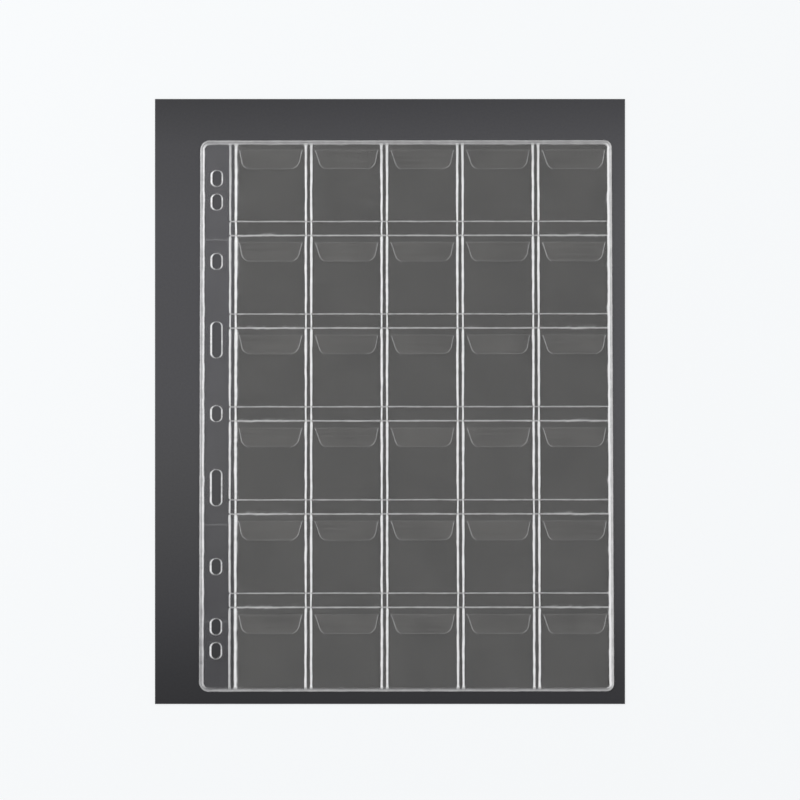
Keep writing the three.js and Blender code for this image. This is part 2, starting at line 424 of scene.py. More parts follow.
@dataclass(frozen=True)
class Welds:
    """The weld beads of the page: sizes in millimetres, and how white each kind of bead is.

    A softness is the share of a bead's half width over which its white fades. A bead's white is partly
    painted highlight, and a glint is a painted highlight that drifts along it.
    """

    layout: PageLayout
    seam_half: float = 0.77
    seam_reach: float = 1.36  # from a seam's middle to each of its two beads
    seam_height: float = 0.22
    # partly painted highlight: the side lamps catch the upright seams more than the level weld lines
    seam_white: float = 0.94
    seam_softness: float = 0.45
    seam_highlight_leans: Span = (0.16, -0.064)  # painted highlight: how much whiter the left flank is of its left and its right bead
    seam_stray: Wave = (70.0, 0.08)
    seam_breadths: tuple[Wave, Wave] = ((35.0, 0.1), (6.0, 0.05))
    seam_glints: tuple[Wave, Wave] = ((24.0, 0.06), (7.0, 0.05))
    seam_flare: float = 0.3  # how much broader a bead is next to the rim's inner bead
    flare_place: Span = (0.3, 0.9)  # from the rim's bead to the flare's middle, and the flare's width
    end_rise: Span = (-0.3, 0.0)  # from the rim's bead, where a seam's bead rises
    end_whitening: Span = (-0.48, 1.12)  # and where it turns white
    head_dim: float = 0.22  # how much fainter seams are at the head
    head_reach: float = 14.0
    first_seam_share: float = 1.22  # how much broader the first seam's inner bead is
    first_seam_white: float = 0.9  # share of their white that the first seam's outer bead has
    first_seam_dim: float = 0.32  # how much fainter that bead is at both ends
    first_seam_reach: float = 60.0
    neck_reach: float = 0.42  # of the necks that weld lines press into a seam's beads
    neck_narrower: float = 0.25
    neck_lower: float = 0.5
    neck_duller: float = 0.72
    neck_inwards: float = 0.2
    closing_half: float = 0.46
    header_half: float = 0.54
    line_height: float = 0.14
    # partly painted highlight, less than on the seams, as the side lamps catch level lines less
    line_white: float = 0.36
    line_softness: float = 0.5
    line_at_seams: float = 0.3  # share of its height that a line has where it crosses a seam
    line_stray: Wave = (90.0, 0.05)
    line_breadth: Wave = (30.0, 0.14)
    line_glint: Wave = (22.0, 0.14)
    closing_waviness: float = 0.03
    header_waviness: float = 0.14
    wavy_wave: float = 26.0
    wavy_rougher: float = 1.2  # how much broader and whiter waviness makes a line
    wavy_first: Span = (15.0, 16.0)  # from the first seam to the middle of its wavy stretch, and the width
    wavy_last: Span = (20.0, 14.0)  # the same from the last seam
    rim_half: float = 0.52
    rim_white_half: float = 0.54
    rim_softness: float = 0.5
    rim_outer: float = 0.66
    rim_height: float = 0.26
    rim_fade: float = 1.3  # over which one side's look gives way to the next at a corner
    rim_strays: tuple[Wave, Wave] = ((48.0, 0.12), (14.0, 0.06))
    rim_glints: tuple[Wave, Wave] = ((60.0, 0.08), (13.0, 0.07))
    outer_stray: float = -0.4  # share of the inner bead's straying that the outer one has
    between_start: Span = (0.2, 0.5)  # from the edge, where the pale band begins
    between_end: Span = (0.0, 0.1)  # and from the inner bead, where it ends
    spine_foot: Span = (70.0, 130.0)  # below the page's middle, where the painted highlight on the spine's rim fades
    spine_foot_dim: float = 0.38
    lip_height: float = 0.13
    lip_start: float = 0.18  # from the film's edge to the lip
    lip_width: tuple[float, float, float] = (0.62, 0.64, 0.36)  # likewise, and the more at its left and right is painted highlight from the side lamps
    lip_white_and_highlight: tuple[float, float, float] = (0.3, 0.72, 0.42)  # likewise
    lip_patches: Wave = (9.0, 0.22)
    lip_softness: float = 0.6
    # painted shade: the dark ring of film just inside the lip
    lip_shade: float = 0.45
    lip_shade_end: Span = (0.108, 0.288)  # from the film's edge, where its painted dark ring ends
    # each side's whiteness is partly painted highlight: the spine and fore rims face the side lamps and are
    # whiter, the top and foot rims less
    rim: dict[Edge, RimLook] = field(
        default_factory=lambda: {
            Edge.SPINE: RimLook(2.0, 0.66, 0.62, 0.46, 0.96),
            Edge.FORE: RimLook(2.04, 0.8, 0.42, 0.64, 1.2),
            Edge.TOP: RimLook(1.94, 0.66, 0.4, 0.32, 0.33),
            Edge.FOOT: RimLook(1.6, 0.66, 0.42, 0.3, 0.1),
        }
    )

    def seam_share(self, y: Array) -> Array:
        """Share of its full breadth that a seam's bead has along the page.

        Straight lines join these: 1 below each header line, 0.84 above the next closing line, and 0.68
        between the two, where the press has squeezed the film three ways.
        """
        page = self.layout
        places, shares = [page.top], [1.0]
        for row in range(page.rows - 1):
            closing, header = page.closing(row), page.header(row)
            places += [closing + 0.3, closing - 0.5, header + 0.4, header - 1.6]
            shares += [0.84, 0.68, 0.68, 1.0]
        return np.interp(-y, -np.array([*places, -page.top]), [*shares, 0.9])

    def seams(self, relief: Relief, only: Span) -> None:
        """Adds the twin beads of every seam in a span of X, with their drift, and their necks at weld lines.

        A bead is a ridge over a line that strays. It flares a little and fades where it meets the rim.

        Args:
            relief: The relief to add to.
            only: The span of X that the strip covers.
        """
        page, y = self.layout, relief.y
        crossing = sum(bump(y - line, self.neck_reach) for line in page.weld_lines)
        rim_inside = np.where(y > 0, self.rim[Edge.TOP].inset, self.rim[Edge.FOOT].inset)
        from_rim = page.top - np.abs(y) - rim_inside
        flare_at, flare_width = self.flare_place
        flare = self.seam_flare * bump(from_rim - flare_at, flare_width)
        share = self.seam_share(y) * (1 - self.neck_narrower * crossing) + flare
        fade = ramp(from_rim, *self.end_whitening) * (1 - self.head_dim * bump(page.top - y, self.head_reach))
        first_fade = 1 - self.first_seam_dim * bump(page.top - np.abs(y), self.first_seam_reach)
        for column in range(page.columns):
            for side in (-1, 1):
                middle = page.seam(column) + side * self.seam_reach
                if not only[0] - 1 < middle < only[1] + 1:
                    continue
                seed = 10 * column + side
                broad = self.first_seam_share if (column, side) == (0, 1) else 1.0
                dull = self.first_seam_white * first_fade if (column, side) == (0, -1) else 1.0
                breadth = 1 + two_drifts(y, (200 + seed, 250 + seed), self.seam_breadths)
                glint = 1 + two_drifts(y, (300 + seed, 350 + seed), self.seam_glints)
                half = self.seam_half * broad * share * breadth
                inwards = self.seam_half * (broad - 1) - self.neck_inwards * crossing
                off = relief.x - middle - side * inwards - wander(y, 100 + seed, *self.seam_stray)
                # painted highlight: one flank of each bead is whiter than the other
                lean = 1 - self.seam_highlight_leans[side > 0] * np.clip(off / half, -1, 1)
                level = self.seam_white * dull * glint * lean * (1 - self.neck_duller * crossing)
                height = self.seam_height * (1 - self.neck_lower * crossing) * ramp(from_rim, *self.end_rise)
                white = level * band(off, half, self.seam_softness) * fade
                relief.add(ridge(off, half, 1.0) * height, white)

    def lines(self, relief: Relief, row: int) -> None:
        """Adds the two weld lines below a row: thin level beads from the first seam to the rim.

        The upper one closes the pockets. The lower one is broader, and strays most in its end columns.

        Args:
            relief: The relief to add to.
            row: The row of pockets.
        """
        page, x = self.layout, relief.x
        ends = sum(
            bump(x - page.seam(column) - place, width)
            for column, (place, width) in ((0, self.wavy_first), (page.columns - 1, self.wavy_last))
        )
        after_first_bead = x > page.seam(0) - self.seam_reach
        inside = (page.inset(x, relief.y) > page.rim_width - 0.3) & after_first_bead
        lower_at_seams = self.line_at_seams + (1 - self.line_at_seams) * page.across_pockets(x, 0.5)
        for seed, at, breadth, waviness in (
            (2 * row, page.closing(row), self.closing_half, self.closing_waviness),
            (2 * row + 1, page.header(row), self.header_half, self.header_waviness),
        ):
            rougher = self.wavy_rougher * waviness * ends
            wavy = wander(x, 500 + seed, self.wavy_wave, waviness) * ends
            off = relief.y - at - wander(x, 400 + seed, *self.line_stray) - wavy
            half = breadth * (1 + wander(x, 600 + seed, *self.line_breadth) + rougher)
            level = self.line_white * (1 + wander(x, 700 + seed, *self.line_glint) + rougher)
            height = ridge(off, half, self.line_height) * lower_at_seams
            relief.add(height * inside, level * band(off, half, self.line_softness) * inside)

    def border(self, relief: Relief) -> None:
        """Adds the two beads that run round the page along its edge, with the paler band between them.

        Each side's look counts by how near that side is, so that the looks blend at the corners.

        Args:
            relief: The relief to add to.
        """
        page, x, y = self.layout, relief.x, relief.y
        inset = page.inset(x, y)
        distances = {
            Edge.SPINE: x + page.right,
            Edge.FORE: page.right - x,
            Edge.TOP: page.top - y,
            Edge.FOOT: y + page.top,
        }
        nearness = {edge: np.exp(-distance / self.rim_fade) for edge, distance in distances.items()}
        total = sum(nearness.values())
        at_inner, breadth, outer, middle, inner = (
            sum(nearness[edge] * getattr(self.rim[edge], part) for edge in Edge) / total
            for part in ("inset", "half", "outer", "between", "inner")
        )
        along = np.where(np.abs(x) / page.right > np.abs(y) / page.top, y, x)
        # painted highlight: fainter on the spine's rim towards the foot
        dimmed = self.spine_foot_dim * nearness[Edge.SPINE] / total * ramp(-y, *self.spine_foot)
        glint = 1 + two_drifts(along, (811, 812), self.rim_glints) - dimmed
        stray = two_drifts(along, (813, 814), self.rim_strays)
        off_outer = inset - self.rim_outer - self.outer_stray * stray
        off_inner = inset - at_inner - stray
        height = np.maximum(*(ridge(off, self.rim_half, self.rim_height) for off in (off_outer, off_inner)))
        covered = ramp(inset, *self.between_start) * ramp(at_inner - inset, *self.between_end)
        outer_white = outer * band(off_outer, self.rim_white_half, self.rim_softness)
        white = np.maximum(outer_white, inner * band(off_inner, breadth, self.rim_softness))
        relief.add(height, glint * np.maximum(white, middle * covered))

    def lips(self, relief: Relief) -> None:
        """Adds the raised lip round every binding hole: broad and white at its sides, thin at its ends.

        Inside the lip the film's edge gets a painted dark ring of shade, and the lip's whiter sides are
        partly painted highlight from the side lamps.

        Args:
            relief: The relief to add to.
        """
        page = self.layout
        for at, punch in page.punches:
            gap, sideways = hole_distance(page, relief.x, relief.y, page.binding_rise + at, punch)
            left, right = (np.clip(turn, 0, 1) ** 2 for turn in (-sideways, sideways))
            # the lip is whiter at its left and right sides, partly painted highlight from the side lamps
            width, level = (
                at_ends + more_left * left + more_right * right
                for at_ends, more_left, more_right in (self.lip_width, self.lip_white_and_highlight)
            )
            angle = np.arctan2(relief.y - page.binding_rise - at, relief.x - page.binding_x)
            patchy = 1 + wander(angle * page.hole_width, 900 + int(at), *self.lip_patches)
            off = gap - self.lip_start - width / 2
            white = patchy * level * band(off, width / 2, self.lip_softness)
            relief.add(ridge(off, width / 2, self.lip_height), white)
            # painted shade: the dark ring inside the lip
            relief.paint_shade(self.lip_shade * (1 - ramp(gap, *self.lip_shade_end)))


def hole_distance(page: PageLayout, x: Array, y: Array, middle: float, punch: Punch) -> tuple[Array, Array]:
    """Distance from a round-ended hole's outline, less than 0 inside, and the sideways part of its direction.

    The hole is a line segment grown by half its width, so the distance is taken from that segment.

    Args:
        page: The page's layout.
        x: Places across.
        y: Places along.
        middle: Y of the hole's middle.
        punch: The hole's length.

    Returns:
        The distance, and the X part of the unit vector out of the hole, at each place.
    """
    reach = (punch.value - page.hole_width) / 2
    over = np.sign(y - middle) * np.maximum(np.abs(y - middle) - reach, 0)
    away = np.hypot(x - page.binding_x, over)
    return away - page.hole_width / 2, (x - page.binding_x) / np.maximum(away, 1e-6)


# Meshes


@dataclass
class FilmShell:
    """A closed sheet: a grid of places with a top and a bottom height at each, and walls along its edges."""

    x: Array
    y: Array
    top: Array
    bottom: Array
    whiteness: Array
    hollow: Array | None = None  # less than 0 where a hole is, 0 on its edge

    def faces(self) -> tuple[Array, Array]:
        """Faces of the sheet's top, as corner numbers of the flattened grid.

        A cell with no corner in a hole is a quad. One with a single corner in a hole is the triangle of
        the others. A cell that lies wholly on a hole's edge has no area, so it's left out.

        Returns:
            Quads and triangles, counter-clockwise seen from the front.
        """
        number = np.arange(self.x.size).reshape(self.x.shape)
        around = [number[:-1, :-1], number[:-1, 1:], number[1:, 1:], number[1:, :-1]]
        cells = np.stack(around, -1).reshape(-1, 4)
        if self.hollow is None:
            return cells, np.empty((0, 3), int)
        gap = self.hollow.reshape(-1)[cells]
        inside = (gap < 0).sum(1)
        on_edge = (gap == 0).sum(1)
        quads = cells[(inside == 0) & (on_edge < 4)]
        cut = (inside == 1) & (on_edge < 3)
        order = np.argmin(gap[cut], axis=1)
        others = (order[:, None] + np.arange(1, 4)) % 4
        return quads, np.take_along_axis(cells[cut], others, axis=1)

    def build(self, name: str) -> bpy.types.Object:
        """Makes the mesh: the top, the same faces turned over as the bottom, and a wall on each free edge.

        Args:
            name: The piece's name.

        Returns:
            The new object, with its whiteness as an attribute.
        """
        quads, triangles = self.faces()
        directed = np.concatenate(
            [np.stack([f, np.roll(f, -1, axis=1)], -1).reshape(-1, 2) for f in (quads, triangles)]
        )
        size = self.x.size
        forward = directed[:, 0] * size + directed[:, 1]
        backward = directed[:, 1] * size + directed[:, 0]
        free = directed[~np.isin(forward, backward)]
        walls = np.stack([free[:, 1], free[:, 0], free[:, 0] + size, free[:, 1] + size], -1)
        fours = np.concatenate([quads, quads[:, ::-1] + size, walls])
        threes = np.concatenate([triangles, triangles[:, ::-1] + size])
        loops = np.concatenate([fours.ravel(), threes.ravel()])
        used, loops = np.unique(loops, return_inverse=True)
        heights = np.concatenate([self.top.ravel(), self.bottom.ravel()])
        places = np.stack([np.tile(self.x.ravel(), 2), np.tile(self.y.ravel(), 2), heights], -1)[used] * MM
        white = np.concatenate([self.whiteness.ravel(), np.zeros(size)])[used]
        totals = np.concatenate([np.full(len(fours), 4), np.full(len(threes), 3)])
        mesh = bpy.data.meshes.new(name)
        mesh.vertices.add(len(places))
        mesh.vertices.foreach_set("co", places.astype(np.float32).ravel())
        mesh.loops.add(len(loops))
        mesh.loops.foreach_set("vertex_index", loops.astype(np.int32).ravel())
        mesh.polygons.add(len(totals))
        mesh.polygons.foreach_set("loop_start", (np.cumsum(totals) - totals).astype(np.int32))
        mesh.update(calc_edges=True)
        mesh.attributes.new(WHITENESS, "FLOAT", "POINT").data.foreach_set("value", white.astype(np.float32))
        mesh.polygons.foreach_set("use_smooth", np.ones(len(totals), bool))
        mesh.set_sharp_from_angle(angle=math.radians(SHARP_DEGREES))
        mesh.validate()
        return put_in_scene(name, mesh)


def put_in_scene(name: str, data: bpy.types.ID) -> bpy.types.Object:
    """Makes an object of a mesh, lamp or camera and puts it in the scene."""
    thing = bpy.data.objects.new(name, data)
    bpy.context.scene.collection.objects.link(thing)
    return thing


# Finishes


@dataclass(frozen=True)
class ClearFilm:
    """Calendered soft PVC film: clear, glossy and faintly grey, with fine streaks the way it was rolled.

    Each face hides only a small share of what is behind it, and more of it at a glancing angle, where
    film mirrors its surroundings. Where the film has been welded, cut or creased it is milky white, and that
    white is partly painted highlight, where beads and cut edges catch the light. Painted shade, in a dark
    flank tone, marks places where a steep flank of clear film would bend away what is behind it.
    """

    name: str
    veil: float  # share that one face hides, seen head on
    marked: bool = True  # whether its mesh says how white each place is
    veil_tone: str = "#A2A09C"
    # white of welds, cuts and creases, which also carries their painted highlight
    weld_tone: str = "#F5F5F4"
    # colour of the painted shade beside steep flanks and at the holes' edges
    flank_shade_tone: str = "#1E1E20"
    glancing: float = 0.35
    glancing_power: float = 7.0
    roughness: float = 0.14
    refraction: float = 1.53
    streak_mm: float = 1.3
    streak_run_mm: float = 45.0
    streak_share: float = 0.5
    streaks_run_up: bool = False
    cloud_mm: float = 22.0
    cloud_share: float = 0.35
    ripple_mm: float = 7.0
    ripple_depth_mm: float = 0.02

    def build(self) -> bpy.types.Material:
        """Makes the material.

        What stays clear of a marked film is the product of what its veil, painted shade and welds leave
        clear;
        the welds' white is partly painted highlight.

        Returns:
            The film's material.
        """
        material = bpy.data.materials.new(self.name)
        add = empty_graph(material)
        place = add("TexCoord").outputs["Object"]
        across, along = self.streak_run_mm * MM, self.streak_mm * MM
        if self.streaks_run_up:
            across, along = along, across
        stretched = add("Mapping", Vector=place, Scale=(1 / across, 1 / along, 1.0))
        streaks = add("TexNoise", Vector=stretched, Scale=1.0, Detail=3.0)
        clouds = add("TexNoise", Vector=place, Scale=1 / (self.cloud_mm * MM), Detail=2.0)
        ripples = add("TexNoise", Vector=place, Scale=1 / (self.ripple_mm * MM), Detail=2.0)
        facing = add("LayerWeight", Blend=0.5).outputs["Facing"]
        glance = add("Math POWER", facing, self.glancing_power)
        mirrored = add("Math MULTIPLY", glance, self.glancing)
        even = self.veil * (1 - self.streak_share / 2 - self.cloud_share / 2)
        streaked = add("Math MULTIPLY_ADD", streaks, self.streak_share * self.veil, even)
        clouded = add("Math MULTIPLY_ADD", clouds, self.cloud_share * self.veil, streaked, use_clamp=True)
        veil = add("Math ADD", clouded, mirrored)
        colour, solid = linear(self.veil_tone), veil
        if self.marked:
            mark = add("Attribute", attribute_name=WHITENESS).outputs["Fac"]
            left = add("Math SUBTRACT", 1.0, veil)
            for sign, tone in ((-1.0, self.flank_shade_tone), (1.0, self.weld_tone)):
                part = add("Math MULTIPLY", mark, sign, use_clamp=True)
                share = add("Math DIVIDE", part, add("Math ADD", part, veil), use_clamp=True)
                colour = add("Mix", share, data_type="RGBA", In6=colour, In7=linear(tone)).outputs[2]
                left = add("Math MULTIPLY", left, add("Math SUBTRACT", 1.0, part))
            solid = add("Math SUBTRACT", 1.0, left, use_clamp=True)
        bumps = add("Bump", Strength=0.6, Distance=self.ripple_depth_mm * MM, Height=ripples)
        gloss = {"Roughness": self.roughness, "IOR": self.refraction}
        add("OutputMaterial", add("BsdfPrincipled", Base_Color=colour, Alpha=solid, Normal=bumps, **gloss))
        return material


@dataclass(frozen=True)
class PaleFloor:
    """Matt off-white paint. Part of what the camera sees of it is plain tone, so it reads as a backdrop."""

    name: str = "matt_off_white_paint"
    tone: str = "#F8FAFB"
    plain_share: float = 0.8
    grain_mm: float = 2.5  # coarser than the grain of real paint, so that it shows

    def build(self) -> bpy.types.Material:
        """Makes the material.

        Returns:
            The floor's material.
        """
        material = bpy.data.materials.new(self.name)
        add = empty_graph(material)
        place = add("TexCoord").outputs["Object"]
        grain = add("TexNoise", Vector=place, Scale=1 / (self.grain_mm * MM), Detail=2.0)
        rough = add("Math MULTIPLY_ADD", grain, 0.1, 0.8)
        paint = add("BsdfPrincipled", Base_Color=linear(self.tone), Roughness=rough)
        plain = add("Emission", Color=linear(self.tone), Strength=1.0)
        share = add("Math MULTIPLY", background_rays(add), self.plain_share)
        add("OutputMaterial", add("MixShader", share, paint, plain))
        return material


@dataclass(frozen=True)
class DarkCard:
    """Dark grey uncoated card with painted shade: darker towards its head, its foot and its left edge, and
    under the binding margin, but even under the pockets.
    """

    name: str = "dark_grey_card"
    even: str = "#535352"  # under the pockets
    shade: float = 0.9  # painted shadow: share of the light that reaches the card under the binding margin
    side_shade: float = 0.16  # painted shade: how much darker the bare card is at its left edge than at its right
    fade: float = 0.001  # metres over which one tone gives way to the next
    fibre_scale: float = 900.0  # about 1.1 mm, coarser than real fibres, so that they show
    shade_falloff: tuple[tuple[float, str], ...] = (
        (0.0, "#333335"), (0.05, "#373739"), (0.17, "#444446"), (0.28, "#4C4C4D"), (0.4, "#525253"),
        (0.5, "#545456"), (0.8, "#545456"), (0.92, "#4F4F51"), (1.0, "#424244"),
    )  # painted light falloff, from its foot to its head

    def build(self, low: float, high: float, pockets: tuple[float, float, float]) -> bpy.types.Material:
        """Makes the material.

        Args:
            low: Y of the card's foot, in metres.
            high: Y of the card's head, in metres.
            pockets: X of the pocket field's left and right edges and Y of its top, in metres. The binding
                margin is the same distance left of the page's middle as the right edge is right of it.

        Returns:
            The card's material.
        """
        left, right, top = pockets
        material = bpy.data.materials.new(self.name)
        add = empty_graph(material)
        place = add("TexCoord").outputs["Object"]
        axes = add("SeparateXYZ", place).outputs
        tones = add("ValToRGB", add("MapRange", axes["Y"], low, high, 0.0, 1.0))
        stops = tones.color_ramp.elements
        stops[0].color, stops[1].color = linear(self.shade_falloff[0][1]), linear(self.shade_falloff[-1][1])
        for position, tone in self.shade_falloff[1:-1]:
            stops.new(position).color = linear(tone)
        from_middle = add("Math ABSOLUTE", add("Math SUBTRACT", axes["X"], (left + right) / 2))
        beside = add("Math SUBTRACT", (right - left) / 2, from_middle)
        above = add("Math SUBTRACT", top, add("Math ABSOLUTE", axes["Y"]))
        inside = add("Math DIVIDE", add("Math MINIMUM", beside, above), self.fade, use_clamp=True)
        toned = add("Mix", inside, data_type="RGBA", In6=tones, In7=linear(self.even)).outputs[2]
        from_side = add("Math SUBTRACT", right, add("Math ABSOLUTE", axes["X"]))
        covered = add("Math DIVIDE", add("Math MINIMUM", above, from_side), self.fade, use_clamp=True)
        margin = add("Math MULTIPLY", covered, add("Math SUBTRACT", 1.0, inside))
        # painted shadow under the binding margin
        shaded = add("Math MULTIPLY_ADD", margin, self.shade - 1, 1.0)
        bare = add("Math SUBTRACT", 1.0, covered)
        # painted shade towards the bare card's left edge
        dimmer = add("MapRange", axes["X"], -right, right, -self.side_shade, 0.0)
        dimmed = add("Math MULTIPLY_ADD", bare, dimmer, 1.0)
        fibre = add("TexNoise", Vector=place, Scale=self.fibre_scale, Detail=3.0)
        dapple = add("Math MULTIPLY", add("Math MULTIPLY_ADD", fibre, 0.2, 0.9), shaded)
        light = add("Math MULTIPLY", dapple, dimmed)
        multiply = {"data_type": "RGBA", "blend_type": "MULTIPLY"}
        colour = add("Mix", 1.0, In6=toned, In7=light, **multiply).outputs[2]
        nap = add("Bump", Strength=0.2, Distance=0.0001, Height=fibre)
        matt = {"Roughness": 0.85, "Specular_IOR_Level": 0.2}
        add("OutputMaterial", add("BsdfPrincipled", Base_Color=colour, Normal=nap, **matt))
        return material


# Sub-assemblies


@dataclass
class Backing:
    """The flat backing film. Its solid has the right shape, so it only gets its finish."""

    finish: ClearFilm = ClearFilm("soft_pvc_backing_film", veil=0.008, marked=False)

    def dress(self, node: bpy.types.Object) -> None:
        """Gives the solid its material.

        Args:
            node: The backing's own node.
        """
        material = self.finish.build()
        for slot in node.material_slots:
            slot.material = material
        log.info("backing_film: dressed in %s", material.name)


@dataclass
class BindingStrip:
    """The front film of the binding margin, with nine lipped holes, the rim and half of the first seam."""

    layout: PageLayout
    welds: Welds
    pitch: float = 0.34  # of the grid round the holes
    fine_pitch: float = 0.2  # of its rows at the rim and the creases
    bead_pitch: float = 0.14  # of its rows at the weld lines and its columns at the seam
    snap: float = 0.56  # share of the pitch within which a place is moved onto a hole's edge
    crease_rows: tuple[float, ...] = (89.0, -55.6, -104.6)  # Y of the faint creases that a fold has left
    crease_stray: Wave = (20.0, 0.25)
    crease_width: float = 0.34
    crease_height: float = 0.03
    crease_white: float = 0.1

    def rows_of_grid(self) -> Array:
        """Rows of the grid: close at the rim, the holes, the weld lines and the creases.

        Returns:
            Y of every row.
        """
        page = self.layout
        rim = page.top - page.rim_width - 3
        spans = [(-page.top, -rim, self.fine_pitch), (rim, page.top, self.fine_pitch)]
        for at, punch in page.punches:
            middle, reach = page.binding_rise + at, punch.value / 2 + 1.6
            spans.append((middle - reach, middle + reach, self.pitch))
        spans += [(line - 0.7, line + 0.7, self.bead_pitch) for line in page.weld_lines]
        spans += [(crease - 0.8, crease + 0.8, self.fine_pitch) for crease in self.crease_rows]
        plain = np.arange(-page.top + 6, page.top - 6, 1.2)
        covered = np.zeros_like(plain, bool)
        for low, high, _ in spans:
            covered |= (plain > low - 0.5) & (plain < high + 0.5)
        return np.unique(np.round(np.concatenate([stations(span) for span in spans] + [plain[~covered]]), 5))

    def grid(self) -> tuple[Array, Array]:
        """Places of the strip's grid: fine at the rim, the holes and the seam.

        Returns:
            X and Y of every place.
        """
        page = self.layout
        half = page.hole_width / 2
        edge, right = -page.right, page.seam(0)
        inner, lip = edge + page.spine_corner, page.binding_x + half + 1.4
        across = stations(
            (edge, inner, 0.16),
            (inner, page.binding_x - half, self.pitch),
            (page.binding_x - half, page.binding_x + half, self.pitch),
            (page.binding_x + half, lip, self.pitch),
            (lip, right - 2.2, 0.9),
            (right - 2.2, right, self.bead_pitch),
        )
        x, y = np.meshgrid(across, self.rows_of_grid())
        return page.drawn_in(x, y, -1, page.spine_corner), y

    def build(self) -> bpy.types.Object:
        """Builds the strip: grid places next to a hole are moved onto its edge, then the relief is laid on.

        Returns:
            The strip's piece.
        """
        page = self.layout
        x, y = self.grid()
        hollow = np.full(x.shape, np.inf)
        for at, punch in page.punches:
            middle = page.binding_rise + at
            gap, sideways = hole_distance(page, x, y, middle, punch)
            near = np.abs(gap) <= self.snap * self.pitch
            lengthways = np.sign(y - middle) * np.sqrt(np.clip(1 - sideways**2, 0, 1))
            x = np.where(near, x - gap * sideways, x)
            y = np.where(near, y - gap * lengthways, y)
            hollow = np.minimum(hollow, np.where(near, 0.0, gap))
        relief = Relief.flat(x, y)
        self.welds.border(relief)
        self.welds.seams(relief, (-page.right, page.seam(0)))
        for row in range(page.rows - 1):
            self.welds.lines(relief, row)
        self.welds.lips(relief)
        between = (x > -page.right + page.rim_width) & (x < page.seam(0) - 2)
        for n, crease in enumerate(self.crease_rows):
            off = y - crease - wander(x, 950 + n, *self.crease_stray)
            fold = bump(off, self.crease_width) * between
            relief.add(self.crease_height * fold, self.crease_white * fold)
        bottom = np.full_like(x, page.backing_thickness + page.weld_gap)
        shell = FilmShell(x, y, page.front_face + relief.height, bottom, relief.whiteness, hollow)
        return shell.build("binding_strip_film")


@dataclass
class FrontStrip:
    """One front film across all five columns: its row's mouths, its closing weld and the hem below it."""

    layout: PageLayout
    welds: Welds
    row: int  # -1 is the short strip above the first row
    line_pitch: float = 0.11
    line_reach: float = 0.6  # of the fine grid on each side of a weld line
    rim_pitch: float = 0.15
    bead_pitch: float = 0.145  # across a seam's beads
    edge_white: float = 0.03  # of the cut edges at the mouths
    edge_width: float = 0.25

    def spans_along(self) -> list[tuple[float, float, float]]:
        """Rows of the grid from the strip's lower edge up: fine at the weld lines and the rim.

        Returns:
            The start, end and widest pitch of each span.
        """
        page, near = self.layout, self.line_reach
        if self.row < 0:
            rim, bead = page.top - page.rim_width, page.top - 2.4
            above = [(rim, bead, self.rim_pitch), (bead, page.top, self.rim_pitch)]
            return [(page.mouth(0) + page.slit, rim, 0.4), *above]
        closing, high = page.closing(self.row), page.mouth(self.row)
        floor = closing + 4
        pocket = [(floor, high - near, 1.45), (high - near, high, 0.3)]
        if self.row == page.rows - 1:
            rim = 3.4 - page.top
            return [(-page.top, rim, self.rim_pitch), (rim, floor, 0.6), *pocket]
        header = page.header(self.row)
        return [
            (page.mouth(self.row + 1) + page.slit, header - near, 0.5),
            (header - near, header + near, self.line_pitch),
            (header + near, closing - near, 1.3),
            (closing - near, closing + near, self.line_pitch),
            (closing + near, floor, 0.8),
            *pocket,
        ]

    def grid(self) -> tuple[Array, Array]:
        """Places of the strip's grid: fine across each seam's beads and the rim.

        Returns:
            X and Y of every place.
        """
        page = self.layout
        spans = [(page.right - page.rim_width - 0.3, page.right, 0.14)]
        for column in range(page.columns):
            left, right = page.pocket_left(column), page.pocket_left(column) + page.pocket_width
            spans += [
                (page.seam(0) if column == 0 else left - page.seam_width, left + 0.3, self.bead_pitch),
                (left + 0.3, left + 6, 0.9),
                (left + 6, right - 6, 1.6),
                (right - 6, right - 0.3, 0.9),
            ]
        x, y = np.meshgrid(stations(*spans), stations(*self.spans_along()))
        return page.drawn_in(x, y, 1, page.fore_corner), y

    def rise(self, x: Array, y: Array) -> Array:
        """How far the film stands off the backing: pockets above the closing weld, the hem below it."""
        page = self.layout
        if self.row < 0:
            return page.hem_rise(x, y, 0, page.top_hem_height)
        pocket = page.pocket_rise(x, y, self.row)
        if self.row == page.rows - 1:
            return pocket
        hem = page.hem_rise(x, y, self.row + 1, page.hem_height)
        return np.where(y > page.closing(self.row), pocket, hem)

    def build(self) -> bpy.types.Object:
        """Builds the strip: a film of even thickness, raised over pockets and mouths, with the welds laid on.

        Returns:
            The strip's piece.
        """
        page, row = self.layout, self.row
        x, y = self.grid()
        relief = Relief.flat(x, y)
        self.welds.border(relief)
        self.welds.seams(relief, (page.seam(0), page.right))
        if 0 <= row < page.rows - 1:
            self.welds.lines(relief, row)
        for mouth in (row, row + 1):
            if 0 <= mouth < page.rows:
                edge = bump(y - page.mouth(mouth), self.edge_width) * page.across_pockets(x, 1.0)
                relief.add(0.0, self.edge_white * edge)
        rise = self.rise(x, y)
        bottom = page.backing_thickness + page.weld_gap + rise
        top = page.front_face + rise + relief.height
        name = "top_flap_strip_film" if row < 0 else f"pocket_strip_{row + 1}_film"
        return FilmShell(x, y, top, bottom, relief.whiteness).build(name)


